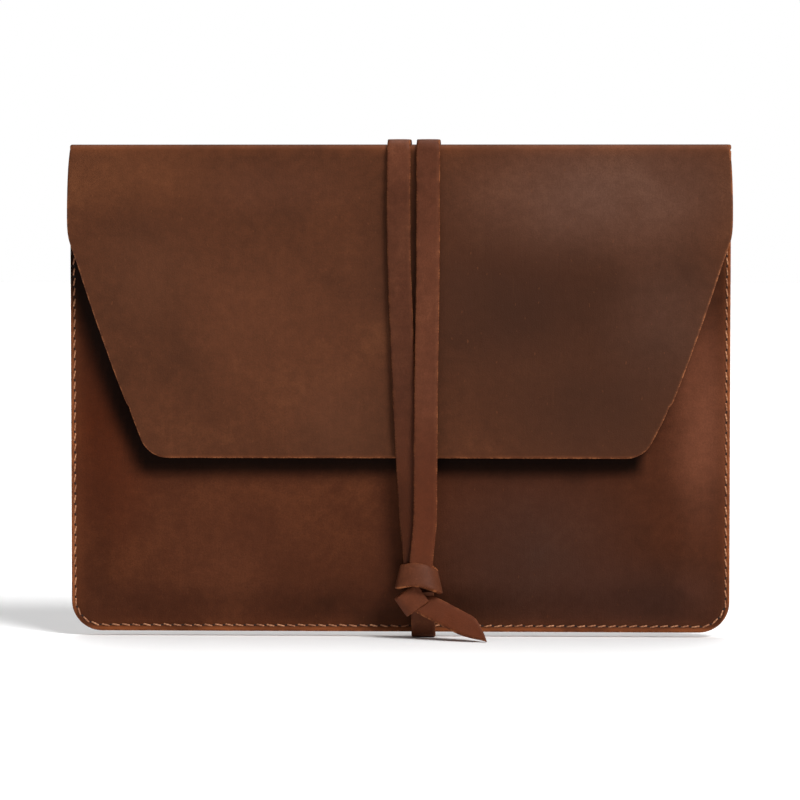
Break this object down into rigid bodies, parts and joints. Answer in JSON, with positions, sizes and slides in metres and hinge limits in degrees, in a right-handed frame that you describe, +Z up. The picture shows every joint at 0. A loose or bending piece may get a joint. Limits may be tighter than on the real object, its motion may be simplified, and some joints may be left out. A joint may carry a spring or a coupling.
{
  "type": "laptop sleeve",
  "caption": "Leather laptop sleeve with a lined pocket, a fold-over flap and a flat strap that wraps it and is hitched in front.",
  "frame": {"origin": "on the floor under the middle of the standing sleeve's box", "axes": "+X along the width, to the viewer's right; +Y from front to back; +Z up, from the sewn bottom edge to the fold"},
  "size_m": [0.2748, 0.034, 0.2052],
  "materials": {
    "shell_leather": "waxed pull-up leather, matt to satin, mottled",
    "strap_leather": "waxed leather, satin, lighter cut edges",
    "thread": "waxed thread",
    "felt": "pressed wool felt"
  },
  "bodies": {
    "sleeve": {"back_panel": "shell_leather", "front_panel": "shell_leather", "back_lining": "felt", "front_lining": "felt", "front_stitching": "thread", "back_stitching": "thread", "strap_back_run": "strap_leather", "strap_sewn_end": "strap_leather", "strap_end_stitching": "thread"},
    "fold": {"cap": "shell_leather", "strap_top_left": "strap_leather", "strap_top_right": "strap_leather"},
    "flap": {"flap": "shell_leather"},
    "strap": {"strap_left": "strap_leather", "strap_right": "strap_leather", "knot_band": "strap_leather", "knot_cross": "strap_leather", "strap_bottom_turn": "strap_leather"},
    "tail": {"strap_tail": "strap_leather"}
  },
  "joints": [
    {"name": "back_crease", "type": "hinge", "parent": "sleeve", "child": "fold", "pos_m": [0, 0.01345, 0.2021], "axis": [-1, 0, 0], "range_deg": [0, 90]},
    {"name": "front_crease", "type": "hinge", "parent": "fold", "child": "flap", "pos_m": [0, -0.00105, 0.2021], "axis": [-1, 0, 0], "range_deg": [0, 90]},
    {"name": "strap_lift", "type": "hinge", "parent": "flap", "child": "strap", "pos_m": [0.006, -0.00325, 0.1996], "axis": [-1, 0, 0], "range_deg": [0, 45]},
    {"name": "tail_lift", "type": "hinge", "parent": "strap", "child": "tail", "pos_m": [0.0155, -0.00765, 0.01195], "axis": [-0.5, 0, -0.866], "range_deg": [0, 60]}
  ],
  "couplings": [
    {"joint": "front_crease", "follows": "back_crease", "ratio": 1}
  ]
}
